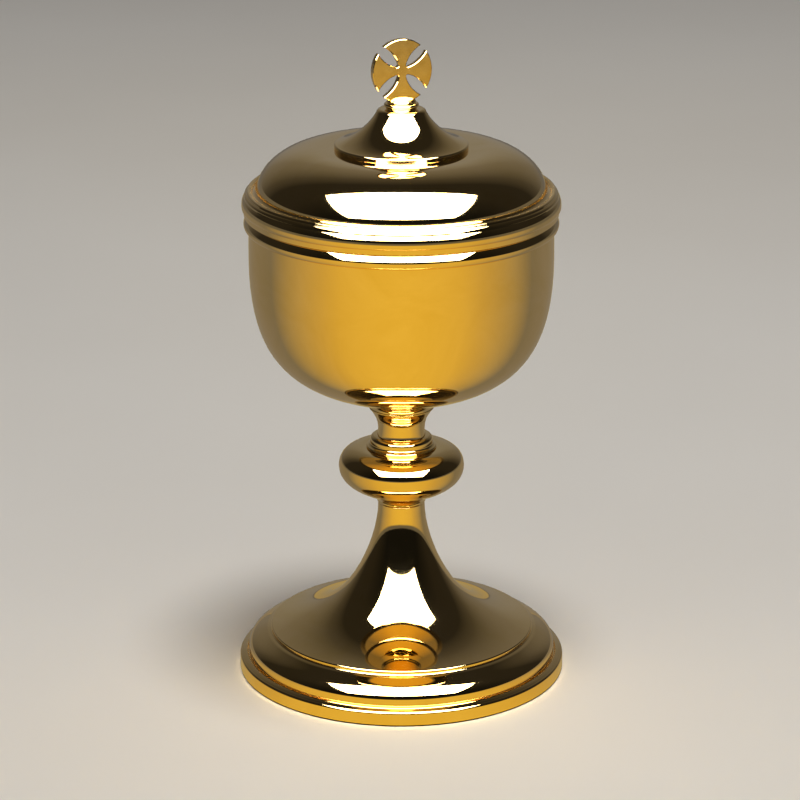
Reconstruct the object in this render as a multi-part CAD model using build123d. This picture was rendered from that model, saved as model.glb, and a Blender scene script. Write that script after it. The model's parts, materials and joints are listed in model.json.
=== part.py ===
"""Covered altar vessel in spun and turned gilt brass: foot, knopped stem, cup and loose domed lid.

Millimetres, +Z up. The origin is the centre of the foot, on the surface it stands on.
Every piece but the cross and the hexagon nuts is turned about the Z axis, so each one is
written as a half-section of (radius, height) points.
"""
import os

from build123d import *

# ---- driving dimensions -------------------------------------------------------------------
FOOT_R = 60.0                 # outside of the foot's plain vertical band
BAND_WALL = 2.0
LEDGE_Z = 5.6                 # seat of the foot's torus moulding
LEDGE_R = 54.5                # inner edge of that seat
MOULDING_R = 56.7             # widest point of the torus moulding
STEP_R = 48.3                 # rolled edge of the trumpet, standing on the torus moulding
STEP_Z = 15.2
STEP_TOP = 16.4
FOOT_WALL = 1.2
STEM_R = 8.55                 # top of the trumpet
STEM_TOP = 63.9

KNOP_R = 22.93
KNOP_MID = 78.0               # height of the knop's equator, where its two halves meet
KNOP_BOTTOM = 68.0
KNOP_TOP = 85.2
KNOP_WALL = 1.0
KNOP_BORE = 8.05              # hole in each half, over the rings' spigots
KNOP_NECK_R = 12.9            # outer edge of the ring that carries the knop
DISC_R = 12.7                 # thin disc on top of the knop
RING_TOP = 89.9               # top of the upper knop ring, foot of the neck tube

NECK_R = 8.5                  # waist of the neck tube
NECK_WALL = 1.2
COLLAR_Z = 95.9               # foot of the flared collar under the cup
CUP_Z = 104.5                 # underside of the cup
CUP_FLAT_R = 9.0
CUP_R = 54.8                  # outside of the cup's wall
CUP_WALL = 1.1
RIM_Z = 173.0                 # top of the cup
RIM_R = 56.45                 # widest point of the cup's rim moulding
RIM_FOOT = 167.8

LID_GAP = 0.3                 # open seam between the cup's rim and the lid
LID_R = 57.1                  # widest point of the lid's rim moulding
LID_BAND_R = 56.3
SKIRT_R = 54.0                # outside of the lid's upright skirt, inside its moulding
RING_FIT = 0.05               # running clearance round the locating ring
RING_R = 52.8                 # outside of the ring that drops into the cup's mouth
RING_WALL = 1.1
RING_Z = (166.5, 177.0)

CONE_R = 23.9                 # foot of the finial
CONE_Z = 197.15
CONE_TOP = 211.6
BEAD_R = 6.2
BEAD_TOP = 215.2

CROSS_HALF_WIDTH = 11.0
CROSS_HALF_HEIGHT = 11.4
CROSS_Z = 225.2
CROSS_THICK = 2.8
CROSS_BEVEL = 0.25
LEAF_R = 11.3                 # arcs that bound the four leaf-shaped openings
LEAF_ALONG = 12.2
LEAF_ACROSS = -1.0
LEAF_TIP_R = 0.7

ROD_R = 3.0
ROD_Z = (30.0, 103.5)
THREAD_PITCH = 1.0
THREAD_DEPTH = 0.35
SPIGOT_GAP = 0.05
WASHER_Z = 39.0
STUD_R = 2.5
STUD_Z = (188.0, 208.5)


# ---- helpers ------------------------------------------------------------------------------
def path(start, *steps):
    """Joined edges: a step of one point is straight, two an arc through the first, three a cubic."""
    edges = []
    here = start
    for step in steps:
        if len(step) == 1:
            edges.append(Line(here, step[0]))
        elif len(step) == 2:
            edges.append(ThreePointArc(here, *step))
        else:
            edges.append(Bezier(here, *step))
        here = step[-1]
    return edges


def corners(*points):
    """Straight steps through the points."""
    return [(point,) for point in points]


def turn(edges):
    """Solid swept once round the Z axis by a closed half-section."""
    return revolve(Plane.XZ * make_face(edges), Axis.Z)


def turned(start, *steps):
    """Turned solid with a closed outline."""
    return turn(path(start, *steps, (start,)))


def sheet(outer, inner):
    """Turned sheet metal between two open outlines that run the same way."""
    closing = [Line(outer[-1] @ 1, inner[-1] @ 1), Line(inner[0] @ 0, outer[0] @ 0)]
    return turn(outer + inner + closing)


def ring(inner, outer, low, high):
    """Plain turned ring."""
    return turned((inner, low), *corners((outer, low), (outer, high), (inner, high)))


def threaded(radius, low, high, turns_low, turns_high):
    """Round bar with grooved ends that stand for its screw threads."""
    chamfer_mm = 0.5
    steps = corners((radius - chamfer_mm, low), (radius, low + chamfer_mm))
    starts = [low + chamfer_mm + i * THREAD_PITCH for i in range(turns_low)]
    starts += [high - chamfer_mm - (i + 1) * THREAD_PITCH for i in reversed(range(turns_high))]
    for z in starts:
        steps += corners((radius, z + 0.15 * THREAD_PITCH),
                         (radius - THREAD_DEPTH, z + 0.5 * THREAD_PITCH),
                         (radius, z + 0.85 * THREAD_PITCH))
    steps += corners((radius, high - chamfer_mm), (radius - chamfer_mm, high), (0, high))
    return turned((0, low), *steps)


def hex_nut(across_flats, bore, low, high):
    """Hexagon nut with both faces turned down to a cone."""
    blank = extrude(RegularPolygon(across_flats / 2, 6, major_radius=False), high - low)
    reach = across_flats / 2
    bevel = reach * 0.16
    envelope = turned((0, low), *corners((reach * 0.96, low), (reach + bevel, low + bevel * 0.6),
                                         (reach + bevel, high - bevel * 0.6), (reach * 0.96, high),
                                         (0, high)))
    return (Pos(0, 0, low) * blank) & envelope - ring(0, bore, low - 1, high + 1)


# ---- foot ---------------------------------------------------------------------------------
def foot_rim_band():
    """Plain vertical band with a rounded top edge and a narrow domed ledge inside it."""
    return turned((FOOT_R - BAND_WALL, 0),
                  ((FOOT_R - 0.4, 0),),
                  ((FOOT_R - 0.117, 0.117), (FOOT_R, 0.4)),
                  ((FOOT_R, 4.5),),
                  ((FOOT_R - 0.225, 5.14), (FOOT_R - 0.8, 5.5)),
                  ((FOOT_R - 1.7, 5.9), (57.45, 6.2)),
                  *corners((57.2, 6.1), (57.1, LEDGE_Z), (LEDGE_R, LEDGE_Z),
                           (LEDGE_R, LEDGE_Z - FOOT_WALL), (FOOT_R - BAND_WALL, 3.6)))


def foot_torus_moulding():
    """Quarter-round moulding, coved up at its inner edge to carry the trumpet."""
    inside = MOULDING_R - FOOT_WALL
    return sheet(path((MOULDING_R, LEDGE_Z),
                      ((MOULDING_R, 7.8),),
                      ((MOULDING_R, 11.3), (53.9, 12.3), (50.2, 14.4)),
                      ((49.4, 14.85), (48.7, 14.8), (48.6, STEP_Z)),
                      ((44.5, STEP_Z),)),
                 path((inside, LEDGE_Z),
                      ((inside, 7.8),),
                      ((inside, 10.7), (53.3, 11.3), (49.7, 13.3)),
                      ((49.0, 13.7), (48.4, STEP_Z - FOOT_WALL), (47.6, STEP_Z - FOOT_WALL)),
                      ((44.5, STEP_Z - FOOT_WALL),)))


def foot_trumpet():
    """Concave trumpet rising from a rolled edge to the slender top of the stem."""
    bore = STEM_R - FOOT_WALL
    return sheet(path((STEP_R, STEP_Z),
                      ((STEP_R, STEP_TOP - 0.5),),
                      ((STEP_R - 0.15, STEP_TOP - 0.15), (STEP_R - 0.5, STEP_TOP)),
                      ((32.8, 18.9), (24.1, 25.5), (19.08, 32.7)),
                      ((13.0, 41.35), (STEM_R - 0.1, 54.1), (STEM_R, STEM_TOP))),
                 path((STEP_R - 2.9, STEP_Z),
                      ((32.1, 17.6), (23.1, 24.8), (18.1, 32.0)),
                      ((12.1, 40.55), (bore - 0.1, 53.7), (bore, STEM_TOP))))


# ---- fixings inside the stem --------------------------------------------------------------
def tie_rod():
    """Rod that pulls the whole stem together, from the foot's throat up into the cup's boss."""
    return threaded(ROD_R, *ROD_Z, 12, 6)


def clamp_washer():
    """Thick dished washer wedged in the throat of the trumpet."""
    return turned((ROD_R + 0.2, WASHER_Z),
                  *corners((8.0, WASHER_Z), (12.5, WASHER_Z + 0.9), (12.9, WASHER_Z + 1.4),
                           (12.5, WASHER_Z + 2.4), (8.0, WASHER_Z + 1.6),
                           (ROD_R + 0.2, WASHER_Z + 1.6)))


def rod_nut():
    """Hexagon nut under the clamp washer."""
    return hex_nut(10.0, ROD_R, WASHER_Z - 5.0, WASHER_Z)


# ---- stem ---------------------------------------------------------------------------------
def lower_knop_ring():
    """Flared ring between trumpet and knop, with a spigot at each end."""
    low_spigot = STEM_R - FOOT_WALL - SPIGOT_GAP
    return turned((ROD_R + 0.2, STEM_TOP - 3),
                  *corners((low_spigot, STEM_TOP - 3), (low_spigot, STEM_TOP), (STEM_R, STEM_TOP)),
                  ((STEM_R + 0.15, STEM_TOP + 0.3), (STEM_R + 0.35, STEM_TOP + 0.55)),
                  ((9.1, 65.9), (10.3, 66.8), (KNOP_NECK_R, KNOP_BOTTOM)),
                  *corners((8.0, KNOP_BOTTOM), (8.0, KNOP_BOTTOM + 2),
                           (ROD_R + 0.2, KNOP_BOTTOM + 2)))


def knop_lower_half():
    """Lower half of the hollow knop, turned in to a flange that sits on its ring."""
    inside = KNOP_R - KNOP_WALL
    return sheet(path((KNOP_BORE, KNOP_BOTTOM),
                      ((KNOP_NECK_R, KNOP_BOTTOM),),
                      ((18.2, 70.2), (KNOP_R, 73.0), (KNOP_R, KNOP_MID))),
                 path((KNOP_BORE, KNOP_BOTTOM + KNOP_WALL),
                      ((KNOP_NECK_R - 0.2, KNOP_BOTTOM + KNOP_WALL),),
                      ((17.8, 71.1), (inside, 73.6), (inside, KNOP_MID))))


def knop_upper_half():
    """Upper half of the hollow knop, flat where its disc sits."""
    inside = KNOP_R - KNOP_WALL
    return sheet(path((KNOP_R, KNOP_MID),
                      ((KNOP_R, 82.6), (19.4, KNOP_TOP), (14.0, KNOP_TOP)),
                      ((KNOP_BORE, KNOP_TOP),)),
                 path((inside, KNOP_MID),
                      ((inside, 82.0), (18.9, KNOP_TOP - KNOP_WALL), (14.0, KNOP_TOP - KNOP_WALL)),
                      ((KNOP_BORE, KNOP_TOP - KNOP_WALL),)))


def upper_knop_ring():
    """Thin disc and rounded bead on top of the knop, with spigots into knop and neck."""
    top_spigot = NECK_R - NECK_WALL - SPIGOT_GAP
    return turned((ROD_R + 0.2, KNOP_TOP - 2),
                  *corners((8.0, KNOP_TOP - 2), (8.0, KNOP_TOP), (DISC_R - 0.1, KNOP_TOP)),
                  ((DISC_R + 0.1, KNOP_TOP + 0.45), (DISC_R - 0.15, KNOP_TOP + 0.9)),
                  ((12.0, KNOP_TOP + 0.95), (11.5, KNOP_TOP + 1.2), (11.4, KNOP_TOP + 1.8)),
                  ((11.4, 88.0),),
                  ((11.4, 88.8), (11.0, 89.4), (10.2, 89.75)),
                  *corners((9.3, RING_TOP), (top_spigot, RING_TOP), (top_spigot, RING_TOP + 2.5),
                           (ROD_R + 0.2, RING_TOP + 2.5)))


def neck_tube():
    """Waisted tube between the knop's ring and the collar under the cup."""
    bore = NECK_R - NECK_WALL
    return turned((bore, RING_TOP),
                  ((8.8, RING_TOP),),
                  ((NECK_R - 0.1, 91.8), (NECK_R - 0.1, 93.6), (9.1, COLLAR_Z)),
                  *corners((bore, COLLAR_Z)))


def cup_collar():
    """Flared collar that carries the cup, with one fine ridge."""
    spigot = NECK_R - NECK_WALL - SPIGOT_GAP
    boss_fit = 6.55
    return turned((ROD_R + 0.2, COLLAR_Z - 2.5),
                  *corners((spigot, COLLAR_Z - 2.5), (spigot, COLLAR_Z), (9.1, COLLAR_Z)),
                  ((9.45, 97.2), (10.4, 98.3), (11.4, 100.0)),
                  ((11.85, 100.4), (11.7, 100.9)),
                  ((12.1, 102.3), (13.4, 103.7), (15.0, CUP_Z)),
                  *corners((boss_fit, CUP_Z), (boss_fit, COLLAR_Z + 1.5),
                           (ROD_R + 0.2, COLLAR_Z + 1.5)))


# ---- cup ----------------------------------------------------------------------------------
def bowl_boss():
    """Threaded socket fixed under the cup, which the tie rod screws into."""
    low = COLLAR_Z + 1.6
    return turned((ROD_R, low), *corners((6.1, low), (6.5, low + 0.4), (6.5, CUP_Z), (0, CUP_Z),
                                         (0, ROD_Z[1]), (ROD_R, ROD_Z[1])))


def bowl_shell():
    """Deep spun cup: nearly flat bottom, full lower curve and almost upright wall."""
    inside = CUP_R - CUP_WALL
    floor = CUP_Z + CUP_WALL
    return sheet(path((0, CUP_Z),
                      ((CUP_FLAT_R, CUP_Z),),
                      ((17.5, CUP_Z), (30.6, 108.64), (37.3, 113.0)),
                      ((46.2, 118.8), (CUP_R, 128.6), (CUP_R, 157.0)),
                      ((CUP_R - 0.1, RIM_Z),)),
                 path((0, floor),
                      ((CUP_FLAT_R, floor),),
                      ((17.3, floor), (30.0, 109.6), (36.7, 113.95)),
                      ((45.3, 119.6), (inside, 129.2), (inside, 157.0)),
                      ((inside - 0.1, RIM_Z),)))


def bowl_rim_moulding():
    """Rounded moulding soldered round the outside of the cup's mouth."""
    return turned((CUP_R, RIM_FOOT),
                  ((55.6, 168.05), (RIM_R, 168.9), (RIM_R, 170.3)),
                  ((RIM_R, 170.5), (RIM_R - 0.25, 171.6), (RIM_R - 1.1, RIM_Z)),
                  *corners((CUP_R, RIM_Z)))


# ---- lid ----------------------------------------------------------------------------------
def lid_locating_ring():
    """Plain ring inside the lid's skirt that drops into the cup's mouth and centres the lid."""
    low, high = RING_Z
    bore = RING_R - RING_WALL
    return turned((bore, low),
                  *corners((RING_R - 0.6, low), (RING_R, low + 1.2), (RING_R, high), (bore, high)))


def lid_dome():
    """Low spun dome with an upright skirt."""
    low = RIM_Z + LID_GAP
    inner_skirt = RING_R + RING_FIT
    return turned((inner_skirt, low),
                  *corners((SKIRT_R, low), (SKIRT_R, 180.6), (53.2, 181.6)),
                  ((52.25, 181.8), (51.65, 182.4)),
                  ((51.6, 183.2), (51.45, 184.1), (51.2, 184.9)),
                  ((49.2, 191.0), (41.5, 197.0), (30.0, 197.1)),
                  ((20.0, 197.15),),
                  ((STUD_R + 0.1, 197.15),),
                  ((STUD_R + 0.1, 196.05),),
                  ((29.5, 195.9),),
                  ((40.7, 195.8), (48.6, 190.1), (49.7, 185.8)),
                  ((49.9, 183.6), (50.3, 180.4), (inner_skirt, 178.6)))


def lid_rim_moulding():
    """Stepped and rounded moulding round the lid's skirt, over a narrow plain band."""
    low = RIM_Z + LID_GAP
    return turned((SKIRT_R, low),
                  *corners((LID_BAND_R - 0.2, low), (LID_BAND_R, low + 0.2), (LID_BAND_R, 175.1)),
                  ((56.9, 175.8), (LID_R, 176.7)),
                  ((LID_R, 178.0), (LID_R - 0.25, 179.1), (LID_R - 0.85, 179.95)),
                  *corners((56.15, 180.3)),
                  ((56.05, 180.9), (55.75, 181.3), (55.3, 181.5)),
                  *corners((55.2, 181.85)),
                  ((55.1, 182.2), (54.8, 182.35), (54.4, 182.4)),
                  ((53.8, 182.27), (53.3, 182.0)),
                  *corners((53.2, 181.6), (SKIRT_R, 180.6)))


def finial_stud():
    """Stud that holds the finial down through the dome."""
    return threaded(STUD_R, *STUD_Z, 8, 4)


def finial_washer():
    """Broad washer under the dome."""
    return ring(STUD_R + 0.1, 8.0, 194.7, 196.0)


def finial_nut():
    """Hexagon nut inside the lid."""
    return hex_nut(8.0, STUD_R, 190.7, 194.7)


def finial_cone():
    """Concave foot of the finial, with a rolled edge and a rounded shoulder."""
    return turned((CONE_R, CONE_Z),
                  ((CONE_R, 198.3),),
                  ((CONE_R - 0.2, 198.8), (CONE_R - 0.7, 199.0)),
                  ((17.5, 200.4), (11.4, 205.4), (8.95, 210.3)),
                  ((8.4, 211.2), (7.3, CONE_TOP)),
                  *corners((STUD_R, CONE_TOP), (STUD_R, 204.0), (6.0, 204.0)),
                  ((9.4, 202.8), (15.0, 199.5), (CONE_R - 1.9, CONE_Z)))


def cross():
    """Round-outlined cross whose four arms flare between leaf-shaped openings."""
    plate = Ellipse(CROSS_HALF_WIDTH, CROSS_HALF_HEIGHT)
    for quarter in range(4):
        along = Pos(LEAF_ALONG, LEAF_ACROSS) * Circle(LEAF_R)
        across = Pos(LEAF_ACROSS, LEAF_ALONG) * Circle(LEAF_R)
        leaf = along & across
        tip = leaf.vertices().sort_by_distance((0, 0, 0))[0]
        plate -= Rot(0, 0, 90 * quarter) * fillet(tip, LEAF_TIP_R)
    solid = extrude(plate, CROSS_THICK / 2, both=True)
    faces = solid.faces().sort_by(Axis.Z)
    solid = chamfer(faces[0].edges() + faces[-1].edges(), CROSS_BEVEL)
    return Pos(0, 0, CROSS_Z) * Rot(90, 0, 0) * solid


def finial_bead():
    """Two-tier turned bead, slotted for the cross."""
    body = turned((0, CONE_TOP),
                  ((5.5, CONE_TOP),),
                  ((5.5, 212.0), (5.8, 212.3)),
                  ((BEAD_R, 212.95), (5.8, 213.6)),
                  *corners((5.1, 213.8)),
                  ((5.2, 214.25), (4.9, 214.7)),
                  ((4.3, BEAD_TOP - 0.05), (3.4, BEAD_TOP)),
                  *corners((0, BEAD_TOP)))
    return body - cross()


PIECES = (foot_rim_band, foot_torus_moulding, foot_trumpet, tie_rod, clamp_washer, rod_nut,
          lower_knop_ring, knop_lower_half, knop_upper_half, upper_knop_ring, neck_tube, cup_collar,
          bowl_boss, bowl_shell, bowl_rim_moulding, lid_locating_ring, lid_dome, lid_rim_moulding,
          finial_stud, finial_washer, finial_nut, finial_cone, finial_bead, cross)

os.makedirs("parts", exist_ok=True)
for piece in PIECES:
    export_step(piece(), f"parts/{piece.__name__}.step")
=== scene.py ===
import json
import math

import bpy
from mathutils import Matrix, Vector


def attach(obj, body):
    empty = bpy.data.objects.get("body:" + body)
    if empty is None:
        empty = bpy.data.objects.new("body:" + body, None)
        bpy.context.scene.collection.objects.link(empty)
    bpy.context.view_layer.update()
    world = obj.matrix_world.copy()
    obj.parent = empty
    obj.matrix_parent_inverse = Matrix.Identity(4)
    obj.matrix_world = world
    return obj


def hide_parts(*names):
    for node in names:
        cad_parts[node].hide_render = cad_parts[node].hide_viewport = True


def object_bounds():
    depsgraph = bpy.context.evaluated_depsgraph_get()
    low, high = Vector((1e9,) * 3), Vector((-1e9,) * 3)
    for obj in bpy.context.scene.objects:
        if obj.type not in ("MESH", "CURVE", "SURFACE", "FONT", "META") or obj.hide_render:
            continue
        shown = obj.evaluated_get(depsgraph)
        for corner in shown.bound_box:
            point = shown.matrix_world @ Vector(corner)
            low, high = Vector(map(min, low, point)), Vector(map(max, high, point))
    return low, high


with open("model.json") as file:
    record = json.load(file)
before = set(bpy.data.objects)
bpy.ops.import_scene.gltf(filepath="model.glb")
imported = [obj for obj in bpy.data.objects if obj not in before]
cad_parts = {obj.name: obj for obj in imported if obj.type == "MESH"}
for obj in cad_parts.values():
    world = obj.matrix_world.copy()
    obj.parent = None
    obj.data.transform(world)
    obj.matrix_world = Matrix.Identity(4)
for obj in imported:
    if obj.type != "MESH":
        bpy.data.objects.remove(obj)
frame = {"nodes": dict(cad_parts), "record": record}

# Looks of a covered altar cup in mirror-polished gilt brass.
#
# Metres, +Z up, in the CAD frame. The turned pieces that show are rebuilt here as fine lathe meshes
# with exact normals and softened edges, because a mirror shows every facet. Their half-sections are
# the CAD's own, in millimetres. The cross, the bead under it and the fixings keep their CAD shape.

CAD_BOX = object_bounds()

# ---- mesh fineness ------------------------------------------------------------------------
MM = 0.001
SPOKES = 192                      # faces round one turn
TURN_PER_FACE = math.radians(4)   # change of direction along the section, per face
TRIALS = 12                       # steps in which a curve's bend is first measured
STEPS = 8                         # steps in which a curve's length is measured
CORNER = math.radians(9)          # sharper than this counts as an edge
SOFT = 0.13                       # size of a softened edge, mm
SAME = 0.01                       # points closer than this are one, mm
LAPPED = ((22.93, 78.0),)         # seam polished flush, which stays unsoftened: the knop's equator
ON_AXIS = 1e-6
FACES_AXIS = -0.02                # a wall whose two normals sum to less, outwards, is an inner one

# ---- camera and light ---------------------------------------------------------------------
CAMERA_SIDE = math.radians(-19)   # the cross faces -Y, and the camera stands this far round from it
CAMERA_AWAY = 1.1463
CAMERA_HEIGHT = 0.4846
CAMERA_PITCH = math.radians(18.42)
CAMERA_LENS = 149.4
CAMERA_SHIFT = -0.00175

SOFTBOX_TOP = (0.0, 0.69)       # (towards the camera, height) of its upper edge, straight overhead
SOFTBOX_LOW = (0.48, 0.32)
SOFTBOX_HALF_WIDTH = 0.41
SOFTBOX_GLOW = 14.0

FILL_AT = (0.15, 0.3, 2.4)
FILL_SIZE = 0.9
FILL_ENERGY = 42.0

FLOOR_HALF = 9.0
FLOOR_FADE = (1.3, 3.5)           # metres from the vessel over which the floor meets the backdrop
BACKDROP = (0.22, 0.215, 0.21, 1)

# What the metal mirrors, as (cosine of the angle from a direction, colour) stops. The card's
# direction is towards the camera, and the studio's is away from it and a little up.
REFLECTOR = ((-1.0, (0.42, 0.32, 0.12)), (-0.93, (0.24, 0.21, 0.16)), (-0.35, (0.20, 0.185, 0.165)),
             (0.0, (0.39, 0.31, 0.16)), (0.5, (0.60, 0.43, 0.12)), (0.72, (0.72, 0.51, 0.105)),
             (1.0, (0.80, 0.57, 0.10)))
REFLECTOR_LIFT = 0.0005
REFLECTOR_EDGE = (0.78, 1.25)     # metres from the vessel over which the card gives way to a dim grey
FAR_GREY = (0.135, 0.13, 0.125, 1)
STUDIO_TOWARDS = (0, -0.985, 0.17)
STUDIO = ((-0.5, (0.007, 0.007, 0.007)), (0.1, (0.02, 0.018, 0.016)), (0.55, (0.022, 0.02, 0.018)),
          (0.72, (0.062, 0.057, 0.052)), (0.94, (0.16, 0.15, 0.14)), (1.0, (0.235, 0.23, 0.225)))


def turned_round(sideways, away, height):
    """A place given from the camera's side: to its right, towards it, and up."""
    return Matrix.Rotation(CAMERA_SIDE, 4, "Z") @ Vector((sideways, -away, height))


# ---- half-sections ------------------------------------------------------------------------
# A section is a start point and steps: one point is straight, two an arc through the first,
# three a cubic. (radius, height) in millimetres.
SECTIONS = {
    "foot_rim_band": [
        (58.0, 0.0), [(59.6, 0.0)], [(59.883, 0.117), (60.0, 0.4)], [(60.0, 4.5)],
        [(59.775, 5.14), (59.2, 5.5)], [(58.3, 5.9), (57.45, 6.2)], [(57.2, 6.1)], [(57.1, 5.6)],
        [(54.5, 5.6)], [(54.5, 4.4)], [(58.0, 3.6)], [(58.0, 0.0)]],
    "foot_torus_moulding": [
        (56.7, 5.6), [(56.7, 7.8)], [(56.7, 11.3), (53.9, 12.3), (50.2, 14.4)],
        [(49.4, 14.85), (48.7, 14.8), (48.6, 15.2)], [(44.5, 15.2)], [(44.5, 14.0)], [(47.6, 14.0)],
        [(48.4, 14.0), (49.0, 13.7), (49.7, 13.3)], [(53.3, 11.3), (55.5, 10.7), (55.5, 7.8)],
        [(55.5, 5.6)], [(56.7, 5.6)]],
    "foot_trumpet": [
        (48.3, 15.2), [(48.3, 15.9)], [(48.15, 16.25), (47.8, 16.4)],
        [(32.8, 18.9), (24.1, 25.5), (19.08, 32.7)], [(13.0, 41.35), (8.45, 54.1), (8.55, 63.9)],
        [(7.35, 63.9)], [(7.25, 53.7), (12.1, 40.55), (18.1, 32.0)],
        [(23.1, 24.8), (32.1, 17.6), (45.4, 15.2)], [(48.3, 15.2)]],
    "lower_knop_ring": [
        (3.2, 60.9), [(7.3, 60.9)], [(7.3, 63.9)], [(8.55, 63.9)], [(8.7, 64.2), (8.9, 64.45)],
        [(9.1, 65.9), (10.3, 66.8), (12.9, 68.0)], [(8.0, 68.0)], [(8.0, 70.0)], [(3.2, 70.0)],
        [(3.2, 60.9)]],
    "knop_lower_half": [
        (8.05, 68.0), [(12.9, 68.0)], [(18.2, 70.2), (22.93, 73.0), (22.93, 78.0)], [(21.93, 78.0)],
        [(21.93, 73.6), (17.8, 71.1), (12.7, 69.0)], [(8.05, 69.0)], [(8.05, 68.0)]],
    "knop_upper_half": [
        (22.93, 78.0), [(22.93, 82.6), (19.4, 85.2), (14.0, 85.2)], [(8.05, 85.2)], [(8.05, 84.2)],
        [(14.0, 84.2)], [(18.9, 84.2), (21.93, 82.0), (21.93, 78.0)], [(22.93, 78.0)]],
    "upper_knop_ring": [
        (3.2, 83.2), [(8.0, 83.2)], [(8.0, 85.2)], [(12.6, 85.2)], [(12.8, 85.65), (12.55, 86.1)],
        [(12.0, 86.15), (11.5, 86.4), (11.4, 87.0)], [(11.4, 88.0)],
        [(11.4, 88.8), (11.0, 89.4), (10.2, 89.75)], [(9.3, 89.9)], [(7.25, 89.9)], [(7.25, 92.4)],
        [(3.2, 92.4)], [(3.2, 83.2)]],
    "neck_tube": [
        (7.3, 89.9), [(8.8, 89.9)], [(8.4, 91.8), (8.4, 93.6), (9.1, 95.9)], [(7.3, 95.9)],
        [(7.3, 89.9)]],
    "cup_collar": [
        (3.2, 93.4), [(7.25, 93.4)], [(7.25, 95.9)], [(9.1, 95.9)],
        [(9.45, 97.2), (10.4, 98.3), (11.4, 100.0)], [(11.85, 100.4), (11.7, 100.9)],
        [(12.1, 102.3), (13.4, 103.7), (15.0, 104.5)], [(6.55, 104.5)], [(6.55, 97.4)], [(3.2, 97.4)],
        [(3.2, 93.4)]],
    "bowl_shell": [
        (0.0, 104.5), [(9.0, 104.5)], [(17.5, 104.5), (30.6, 108.64), (37.3, 113.0)],
        [(46.2, 118.8), (54.8, 128.6), (54.8, 157.0)], [(54.7, 173.0)], [(53.6, 173.0)],
        [(53.7, 157.0)], [(53.7, 129.2), (45.3, 119.6), (36.7, 113.95)],
        [(30.0, 109.6), (17.3, 105.6), (9.0, 105.6)], [(0.0, 105.6)]],
    "bowl_rim_moulding": [
        (54.8, 167.8), [(55.6, 168.05), (56.45, 168.9), (56.45, 170.3)],
        [(56.45, 170.5), (56.2, 171.6), (55.35, 173.0)], [(54.8, 173.0)], [(54.8, 167.8)]],
    "lid_locating_ring": [
        (51.7, 166.5), [(52.2, 166.5)], [(52.8, 167.7)], [(52.8, 177.0)], [(51.7, 177.0)],
        [(51.7, 166.5)]],
    "lid_dome": [
        (52.85, 173.3), [(54.0, 173.3)], [(54.0, 180.6)], [(53.2, 181.6)],
        [(52.25, 181.8), (51.65, 182.4)], [(51.6, 183.2), (51.45, 184.1), (51.2, 184.9)],
        [(49.2, 191.0), (41.5, 197.0), (30.0, 197.1)], [(20.0, 197.15)], [(2.6, 197.15)],
        [(2.6, 196.05)], [(29.5, 195.9)], [(40.7, 195.8), (48.6, 190.1), (49.7, 185.8)],
        [(49.9, 183.6), (50.3, 180.4), (52.85, 178.6)], [(52.85, 173.3)]],
    "lid_rim_moulding": [
        (54.0, 173.3), [(56.1, 173.3)], [(56.3, 173.5)], [(56.3, 175.1)],
        [(56.9, 175.8), (57.1, 176.7)], [(57.1, 178.0), (56.85, 179.1), (56.25, 179.95)],
        [(56.15, 180.3)], [(56.05, 180.9), (55.75, 181.3), (55.3, 181.5)], [(55.2, 181.85)],
        [(55.1, 182.2), (54.8, 182.35), (54.4, 182.4)], [(53.8, 182.27), (53.3, 182.0)],
        [(53.2, 181.6)], [(54.0, 180.6)], [(54.0, 173.3)]],
    "finial_cone": [
        (23.9, 197.15), [(23.9, 198.3)], [(23.7, 198.8), (23.2, 199.0)],
        [(17.5, 200.4), (11.4, 205.4), (8.95, 210.3)], [(8.4, 211.2), (7.3, 211.6)], [(2.5, 211.6)],
        [(2.5, 204.0)], [(6.0, 204.0)], [(9.4, 202.8), (15.0, 199.5), (22.0, 197.15)],
        [(23.9, 197.15)]],
}


# ---- curves -------------------------------------------------------------------------------
def line(a, b):
    """Place and direction along a straight step, for t from 0 to 1."""
    return lambda t: (a.lerp(b, t), b - a)


def cubic(a, h, k, b):
    """Place and direction along a cubic Bezier."""
    def at(t):
        s = 1 - t
        place = a * s**3 + h * 3 * s * s * t + k * 3 * s * t * t + b * t**3
        return place, (h - a) * s * s + (k - h) * 2 * s * t + (b - k) * t * t
    return at


def arc(a, via, b):
    """Place and direction along the circular arc from a through via to b."""
    u, v = via - a, b - a
    twice = 2 * (u.x * v.y - u.y * v.x)
    centre = a + Vector((v.y * u.length_squared - u.y * v.length_squared,
                         u.x * v.length_squared - v.x * u.length_squared)) / twice
    start, end = a - centre, b - centre
    sweep = math.atan2(start.x * end.y - start.y * end.x, start.dot(end))

    def at(t):
        spoke = Matrix.Rotation(sweep * t, 2) @ start
        return centre + spoke, Vector((-spoke.y, spoke.x)) * sweep
    return at


def bent(directions):
    """Sum of the turns between successive directions."""
    return sum(d.angle(e) for d, e in zip(directions, directions[1:]))


def sampled(curve, t0, t1):
    """Places and unit directions along a curve, close enough together for its bend."""
    trial = [curve(t0 + (t1 - t0) * i / TRIALS)[1] for i in range(TRIALS + 1)]
    count = max(1, math.ceil(bent(trial) / TURN_PER_FACE))
    pairs = [curve(t0 + (t1 - t0) * i / count) for i in range(count + 1)]
    return [(place, direction.normalized()) for place, direction in pairs]


def length(curve):
    """Length of a curve, from short straight steps."""
    places = [curve(i / STEPS)[0] for i in range(STEPS + 1)]
    return sum((a - b).length for a, b in zip(places, places[1:]))


def fillet(before, corner, after):
    """Small rounding between the cut ends of two curves."""
    (a, _), (b, _) = before, after
    return sampled(lambda t: (a.lerp(corner, t).lerp(corner.lerp(b, t), t),
                              (corner - a).lerp(b - corner, t)), 0, 1)


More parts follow.
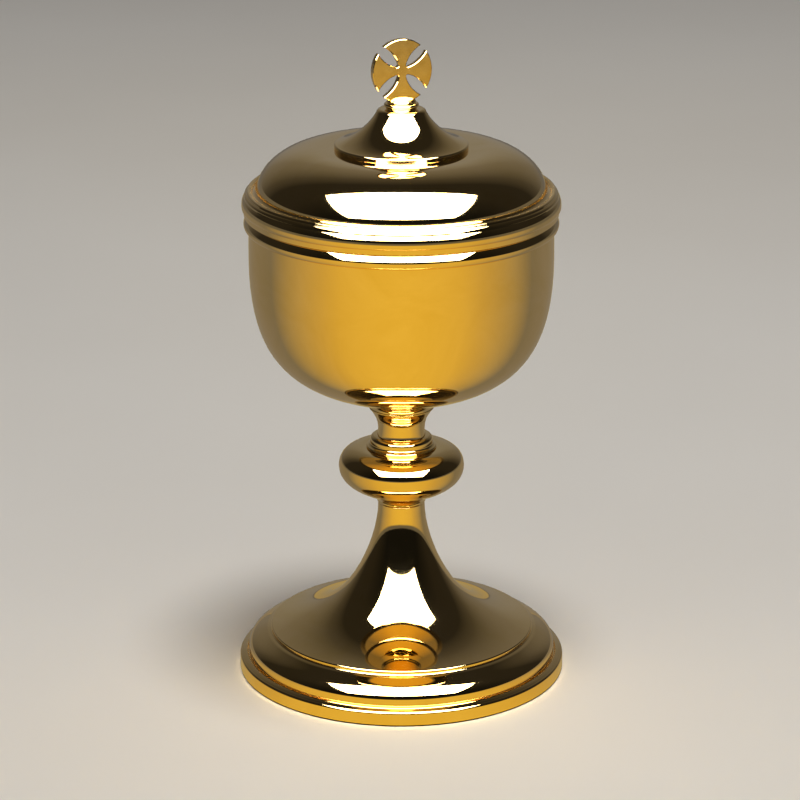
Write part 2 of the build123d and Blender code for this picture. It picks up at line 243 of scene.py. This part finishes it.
def section_runs(section):
    """The section as runs of (place, direction), with its corners softened."""
    kinds = {1: line, 2: arc, 3: cubic}
    points = [Vector(section[0])]
    curves = []
    for step in section[1:]:
        ends = [Vector(p) for p in step]
        curves.append(kinds[len(step)](points[-1], *ends))
        points.append(ends[-1])
    closed = points[0] == points[-1]
    sizes = [length(curve) for curve in curves]
    cuts = [0.0] * len(points)
    for i in range(0 if closed else 1, len(curves)):
        turn = curves[i - 1](1)[1].angle(curves[i](0)[1])
        lapped = any((points[i] - Vector(p)).length < SAME for p in LAPPED)
        if turn > CORNER and not lapped:
            cuts[i] = min(SOFT, 0.4 * sizes[i - 1], 0.4 * sizes[i])
    cuts[-1] = cuts[0]
    runs = []
    for i, curve in enumerate(curves):
        runs.append(sampled(curve, cuts[i] / sizes[i], 1 - cuts[i + 1] / sizes[i]))
        if cuts[i + 1]:
            following = curves[(i + 1) % len(curves)]
            opening = following(cuts[i + 1] / sizes[(i + 1) % len(curves)])
            runs.append(fillet(runs[-1][-1], points[i + 1], opening))
    return runs, closed


# ---- lathe --------------------------------------------------------------------------------
AROUND = [(math.cos(2 * math.pi * i / SPOKES), math.sin(2 * math.pi * i / SPOKES))
          for i in range(SPOKES)]


def ring_vertices(place):
    """One vertex on the axis, or a ring of them round it, in metres."""
    if place.x < ON_AXIS:
        return [(0.0, 0.0, place.y * MM)]
    return [(place.x * c * MM, place.x * s * MM, place.y * MM) for c, s in AROUND]


def wall(low, high, n0, n1):
    """The faces between two rings, each (first vertex, on the axis), as (vertex, spoke, normal)."""
    (low, low_pole), (high, high_pole) = low, high
    for i in range(SPOKES):
        j = (i + 1) % SPOKES
        if low_pole:
            yield [(low, i, n0), (high + j, j, n1), (high + i, i, n1)]
        elif high_pole:
            yield [(low + i, i, n0), (low + j, j, n0), (high, i, n1)]
        else:
            yield [(low + i, i, n0), (low + j, j, n0), (high + j, j, n1), (high + i, i, n1)]


def turned_object(name, vertices, faces, normals, inner):
    """The mesh as an object: outer faces polished, inner ones left as spun."""
    mesh = bpy.data.meshes.new(name)
    mesh.from_pydata(vertices, [], faces)
    mesh.shade_smooth()
    mesh.materials.append(MATERIALS["polished_gilt"])
    mesh.materials.append(MATERIALS["spun_gilt"])
    mesh.polygons.foreach_set("material_index", [int(flag) for flag in inner])
    mesh.normals_split_custom_set(normals)
    piece = bpy.data.objects.new("turned_" + name, mesh)
    bpy.context.scene.collection.objects.link(piece)
    return piece


def lathe(name):
    """A turned piece as one closed mesh, with the exact normals of its section."""
    runs, closed = section_runs(SECTIONS[name])
    outline = [place for run in runs for place, _ in run[:-1]]
    outline += [] if closed else [runs[-1][-1][0]]
    area = sum(a.x * b.y - a.y * b.x for a, b in zip(outline, outline[1:] + outline[:1]))
    way = 1 if area > 0 else -1
    vertices, rings = [], []
    for place in outline:
        rings.append((len(vertices), place.x < ON_AXIS))
        vertices += ring_vertices(place)
    faces, normals, inner = [], [], []
    spans = [span for run in runs for span in zip(run, run[1:])]
    for at, ((_, d0), (_, d1)) in enumerate(spans):
        low, high = rings[at], rings[(at + 1) % len(rings)]
        if low[1] and high[1]:
            continue
        n0, n1 = Vector((d0.y, -d0.x)) * way, Vector((d1.y, -d1.x)) * way
        for corners in wall(low, high, n0, n1):
            corners = corners[::way]
            faces.append([vertex for vertex, _, _ in corners])
            normals += [(n.x * AROUND[k][0], n.x * AROUND[k][1], n.y) for _, k, n in corners]
            inner.append(n0.x + n1.x < FACES_AXIS)
    return turned_object(name, vertices, faces, normals, inner)


# ---- materials ----------------------------------------------------------------------------
class Shader:
    """A Principled material under construction."""

    def __init__(self, name, **values):
        self.material = bpy.data.materials.new(name)
        self.material.use_nodes = True
        self.nodes = self.material.node_tree.nodes
        self.link = self.material.node_tree.links.new
        self.principled = self.nodes["Principled BSDF"]
        for socket, value in values.items():
            self.principled.inputs[socket.replace("_", " ")].default_value = value
        self.place = self.nodes.new("ShaderNodeTexCoord").outputs["Object"]

    def add(self, kind, operation=None, **values):
        """A node with its plain inputs set and its sockets linked."""
        node = self.nodes.new("ShaderNode" + kind)
        if operation:
            node.operation = operation
        for key, value in values.items():
            socket = node.inputs[int(key[1:])] if key[0] == "_" else node.inputs[key]
            if isinstance(value, bpy.types.NodeSocket):
                self.link(value, socket)
            else:
                socket.default_value = value
        return node

    def turned_place(self, along):
        """(radius, height, a share of the place along X): noise on it runs in rings."""
        split = self.add("SeparateXYZ", _0=self.place)
        flat = self.add("VectorMath", "MULTIPLY", _0=self.place, _1=(1, 1, 0))
        radius = self.add("VectorMath", "LENGTH", _0=flat.outputs[0])
        sides = self.add("Math", "MULTIPLY", _0=split.outputs[0], _1=along)
        joined = self.add("CombineXYZ", _0=radius.outputs["Value"], _1=split.outputs[2],
                          _2=sides.outputs[0])
        return joined.outputs[0]

    def noise(self, place, scale, detail=2.0, roughness=0.5, distortion=0.0):
        """Noise over a place, around 0.5."""
        return self.add("TexNoise", Vector=place, Scale=scale, Detail=detail, Roughness=roughness,
                        Distortion=distortion).outputs["Fac"]

    def spread(self, value, low, high, from_low=0.3, from_high=0.7):
        """The value moved from one range to another."""
        node = self.add("MapRange", Value=value)
        for key, number in zip(("From Min", "From Max", "To Min", "To Max"),
                               (from_low, from_high, low, high)):
            node.inputs[key].default_value = number
        return node.outputs["Result"]

    def tint(self, value, low, high):
        """Base colour between two, by the value."""
        node = self.nodes.new("ShaderNodeMix")
        node.data_type = "RGBA"
        self.link(value, node.inputs["Factor"])
        node.inputs["A"].default_value = (*low, 1)
        node.inputs["B"].default_value = (*high, 1)
        self.link(node.outputs["Result"], self.principled.inputs["Base Color"])

    def total(self, *values):
        """Sum of the values."""
        so_far = values[0]
        for value in values[1:]:
            so_far = self.add("Math", "ADD", _0=so_far, _1=value).outputs[0]
        return so_far

    def bumps(self, *layers):
        """Bump nodes in a chain, each (height, strength, distance in metres)."""
        normal = None
        for height, strength, distance in layers:
            node = self.add("Bump", Height=height, Strength=strength, Distance=distance)
            if normal:
                self.link(normal, node.inputs["Normal"])
            normal = node.outputs["Normal"]
        self.link(normal, self.principled.inputs["Normal"])


def polished_gilt():
    """Mirror-polished gold plate: faint buffing rings, cloudy wiping marks and a few hairlines."""
    s = Shader("polished_gilt", Metallic=1.0)
    clouds = s.noise(s.place, 34, 4, 0.6, 1.4)
    rings = s.noise(s.turned_place(0.05), 2600, 2)
    hairlines = s.noise(s.turned_place(0.6), 900, 4, 0.7, 1.5)
    s.tint(s.spread(clouds, 0, 1), (0.935, 0.675, 0.265), (0.99, 0.735, 0.355))
    rough = s.total(s.spread(clouds, 0.025, 0.055), s.spread(hairlines, 0, 0.03, 0.58, 0.72))
    s.link(rough, s.principled.inputs["Roughness"])
    s.bumps((clouds, 0.25, 0.00005), (rings, 0.12, 0.000004), (hairlines, 0.15, 0.000006))
    return s.material


def spun_gilt():
    """Gold plate over spun metal that wasn't buffed: visible turning rings, softer shine."""
    s = Shader("spun_gilt", Metallic=1.0)
    clouds = s.noise(s.place, 60, 4, 0.6)
    rings = s.noise(s.turned_place(0.02), 1500, 3)
    s.tint(s.spread(clouds, 0, 1), (0.88, 0.61, 0.23), (0.95, 0.68, 0.29))
    rough = s.total(s.spread(clouds, 0.16, 0.24), s.spread(rings, 0, 0.08))
    s.link(rough, s.principled.inputs["Roughness"])
    s.bumps((rings, 0.5, 0.00002), (clouds, 0.2, 0.00008))
    return s.material


def satin_gilt():
    """Satin face and bright bevelled edge of the cross."""
    s = Shader("satin_gilt", Metallic=1.0)
    grain = s.noise(s.place, 5200, 3, 0.6)
    clouds = s.noise(s.place, 260, 3, 0.55)
    s.tint(s.spread(clouds, 0, 1), (0.88, 0.61, 0.23), (0.96, 0.69, 0.29))
    facing = s.nodes.new("ShaderNodeNewGeometry").outputs["Normal"]
    turned = s.nodes.new("ShaderNodeVectorTransform")
    turned.vector_type, turned.convert_from, turned.convert_to = "NORMAL", "WORLD", "OBJECT"
    s.link(facing, turned.inputs[0])
    across = s.add("SeparateXYZ", _0=turned.outputs[0]).outputs["Y"]
    flat = s.spread(s.add("Math", "ABSOLUTE", _0=across).outputs[0], 0, 1, 0.9, 0.98)
    satin = s.add("Math", "MULTIPLY", _0=flat, _1=s.spread(clouds, 0.07, 0.11)).outputs[0]
    s.link(s.total(satin, s.spread(grain, 0.04, 0.07)), s.principled.inputs["Roughness"])
    s.bumps((grain, 0.25, 0.00001), (clouds, 0.2, 0.00003))
    return s.material


def bare_brass():
    """Turned brass with tool rings, dulled in patches."""
    s = Shader("bare_brass", Metallic=1.0)
    patches = s.noise(s.place, 190, 4, 0.62)
    rings = s.noise(s.turned_place(0.02), 3200, 3)
    s.tint(s.spread(patches, 0, 1), (0.42, 0.27, 0.1), (0.76, 0.54, 0.23))
    rough = s.total(s.spread(patches, 0.42, 0.24), s.spread(rings, 0, 0.1))
    s.link(rough, s.principled.inputs["Roughness"])
    s.bumps((rings, 0.6, 0.00002), (patches, 0.3, 0.00005))
    return s.material


def steel_fixing():
    """Drawn steel rod with fine lengthwise marks and dark spots."""
    s = Shader("steel_fixing", Metallic=1.0)
    stretched = s.add("VectorMath", "MULTIPLY", _0=s.place, _1=(1, 1, 0.04)).outputs[0]
    drawn = s.noise(stretched, 6000, 3)
    spots = s.noise(s.place, 700, 4, 0.7)
    s.tint(s.spread(spots, 0, 1, 0.35, 0.55), (0.2, 0.19, 0.18), (0.55, 0.55, 0.57))
    rough = s.total(s.spread(drawn, 0.25, 0.4), s.spread(spots, 0.15, 0, 0.35, 0.5))
    s.link(rough, s.principled.inputs["Roughness"])
    s.bumps((drawn, 0.5, 0.00001))
    return s.material


def floor_paint():
    """Pale studio floor with a barely uneven matt surface, far off as bright as the backdrop."""
    s = Shader("floor_paint")
    broad = s.noise(s.place, 2.5, 3)
    fine = s.noise(s.place, 900, 2)
    s.tint(s.spread(broad, 0, 1), (0.74, 0.70, 0.64), (0.78, 0.745, 0.69))
    s.link(s.spread(fine, 0.75, 0.9), s.principled.inputs["Roughness"])
    s.principled.inputs["Specular IOR Level"].default_value = 0.2
    reach = s.add("VectorMath", "LENGTH", _0=s.place).outputs["Value"]
    s.link(s.spread(reach, 0, 1, *FLOOR_FADE), s.principled.inputs["Emission Strength"])
    s.principled.inputs["Emission Color"].default_value = BACKDROP
    s.bumps((fine, 0.1, 0.0001))
    return s.material


def glow(name, strength):
    """Even white light for a studio panel."""
    material = bpy.data.materials.new(name)
    material.use_nodes = True
    nodes = material.node_tree.nodes
    nodes.clear()
    emission = nodes.new("ShaderNodeEmission")
    emission.inputs["Color"].default_value = (1, 1, 1, 1)
    emission.inputs["Strength"].default_value = strength
    output = nodes.new("ShaderNodeOutputMaterial")
    material.node_tree.links.new(emission.outputs[0], output.inputs["Surface"])
    return material


MATERIALS = {make.__name__: make() for make in
             (polished_gilt, spun_gilt, satin_gilt, bare_brass, steel_fixing)}


# ---- the object ---------------------------------------------------------------------------
def dress():
    """Turned pieces in place of their CAD shells, and a material on every other CAD node."""
    slots = {part["node"]: part["material_slot"] for part in frame["record"]["subparts"]}
    bodies = frame["record"]["behaviour"]["bodies"]
    for body, members in bodies.items():
        for node in members:
            if node in SECTIONS:
                piece = lathe(node)
                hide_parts(node)
                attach(piece, body)
            else:
                frame["nodes"][node].material_slots[0].material = MATERIALS[slots[node]]


# ---- studio -------------------------------------------------------------------------------
def panel(name, corners, material):
    """A flat four-sided stage panel."""
    mesh = bpy.data.meshes.new(name)
    mesh.from_pydata(corners, [], [(0, 1, 2, 3)])
    mesh.materials.append(material)
    made = bpy.data.objects.new(name, mesh)
    bpy.context.scene.collection.objects.link(made)
    return made


def level_square(height):
    """Corners of a square as broad as the floor."""
    return [(side * FLOOR_HALF, depth * FLOOR_HALF, height)
            for side, depth in ((-1, -1), (1, -1), (1, 1), (-1, 1))]


def floor():
    """Pale floor. The metal mirrors the reflector laid over it instead."""
    panel("floor", level_square(CAD_BOX[0].z), floor_paint()).visible_glossy = False


def mirrored_only(made):
    """Hides a panel from everything but reflections in the metal."""
    made.visible_camera = made.visible_diffuse = made.visible_shadow = False


def softbox():
    """One broad panel, from straight overhead down to the camera's side."""
    corners = [turned_round(side * SOFTBOX_HALF_WIDTH, *edge) for side, edge in
               ((-1, SOFTBOX_LOW), (1, SOFTBOX_LOW), (1, SOFTBOX_TOP), (-1, SOFTBOX_TOP))]
    mirrored_only(panel("softbox", corners, glow("softbox_glow", SOFTBOX_GLOW)))


def reflector():
    """Card over the floor: warm and bright towards the camera, greyer behind, dim grey far out."""
    material = glow("reflector_glow", 1.0)
    nodes, link = material.node_tree.nodes, material.node_tree.links.new
    place = nodes.new("ShaderNodeTexCoord").outputs["Object"]
    outward = nodes.new("ShaderNodeVectorMath")
    outward.operation = "NORMALIZE"
    link(place, outward.inputs[0])
    reach = nodes.new("ShaderNodeVectorMath")
    reach.operation = "LENGTH"
    link(place, reach.inputs[0])
    fade = nodes.new("ShaderNodeMapRange")
    fade.interpolation_type = "SMOOTHSTEP"
    fade.inputs["From Min"].default_value, fade.inputs["From Max"].default_value = REFLECTOR_EDGE
    link(reach.outputs["Value"], fade.inputs["Value"])
    card = nodes.new("ShaderNodeMix")
    card.data_type = "RGBA"
    card.inputs["B"].default_value = FAR_GREY
    link(fade.outputs["Result"], card.inputs["Factor"])
    colour = direction_ramp(nodes, link, outward.outputs[0], turned_round(0, 1, 0), REFLECTOR)
    link(colour, card.inputs["A"])
    link(card.outputs["Result"], nodes["Emission"].inputs["Color"])
    mirrored_only(panel("reflector", level_square(CAD_BOX[0].z + REFLECTOR_LIFT), material))


def fill():
    """Soft light on the floor that the metal doesn't mirror."""
    lamp = bpy.data.lights.new("fill", "AREA")
    lamp.shape = "DISK"
    lamp.size = FILL_SIZE
    lamp.energy = FILL_ENERGY
    made = bpy.data.objects.new("fill", lamp)
    made.location = turned_round(*FILL_AT)
    made.visible_glossy = made.visible_camera = False
    bpy.context.scene.collection.objects.link(made)


def direction_ramp(nodes, link, direction, towards, stops):
    """A colour that depends on the angle between a direction and another."""
    cosine = nodes.new("ShaderNodeVectorMath")
    cosine.operation = "DOT_PRODUCT"
    cosine.inputs[1].default_value = towards
    link(direction, cosine.inputs[0])
    share = nodes.new("ShaderNodeMapRange")
    share.inputs["From Min"].default_value = -1.0
    link(cosine.outputs["Value"], share.inputs["Value"])
    ramp = nodes.new("ShaderNodeValToRGB")
    while len(ramp.color_ramp.elements) < len(stops):
        ramp.color_ramp.elements.new(1.0)
    for element, (at, colour) in zip(ramp.color_ramp.elements, stops):
        element.position = (at + 1) / 2
        element.color = (*colour, 1)
    link(share.outputs["Result"], ramp.inputs[0])
    return ramp.outputs["Color"]


def surroundings():
    """Dark studio with a dim glow low behind the object; the camera sees a plain grey."""
    world = bpy.data.worlds.new("studio")
    world.use_nodes = True
    bpy.context.scene.world = world
    nodes, link = world.node_tree.nodes, world.node_tree.links.new
    way = nodes.new("ShaderNodeTexCoord").outputs["Generated"]
    seen = nodes.new("ShaderNodeMix")
    seen.data_type = "RGBA"
    seen.inputs["B"].default_value = BACKDROP
    link(nodes.new("ShaderNodeLightPath").outputs["Is Camera Ray"], seen.inputs["Factor"])
    mirrored = direction_ramp(nodes, link, way, turned_round(*STUDIO_TOWARDS), STUDIO)
    link(mirrored, seen.inputs["A"])
    link(seen.outputs["Result"], nodes["Background"].inputs["Color"])


def camera():
    """Long lens on the camera's side, looking down at the vessel."""
    data = bpy.data.cameras.new("camera")
    data.lens = CAMERA_LENS
    data.shift_x = CAMERA_SHIFT
    made = bpy.data.objects.new("camera", data)
    made.location = turned_round(0, CAMERA_AWAY, CAMERA_HEIGHT)
    made.rotation_euler = (math.pi / 2 - CAMERA_PITCH, 0, CAMERA_SIDE)
    bpy.context.scene.collection.objects.link(made)
    bpy.context.scene.camera = made


dress()
floor()
softbox()
reflector()
fill()
surroundings()
camera()
bpy.context.scene.view_settings.view_transform = "Standard"
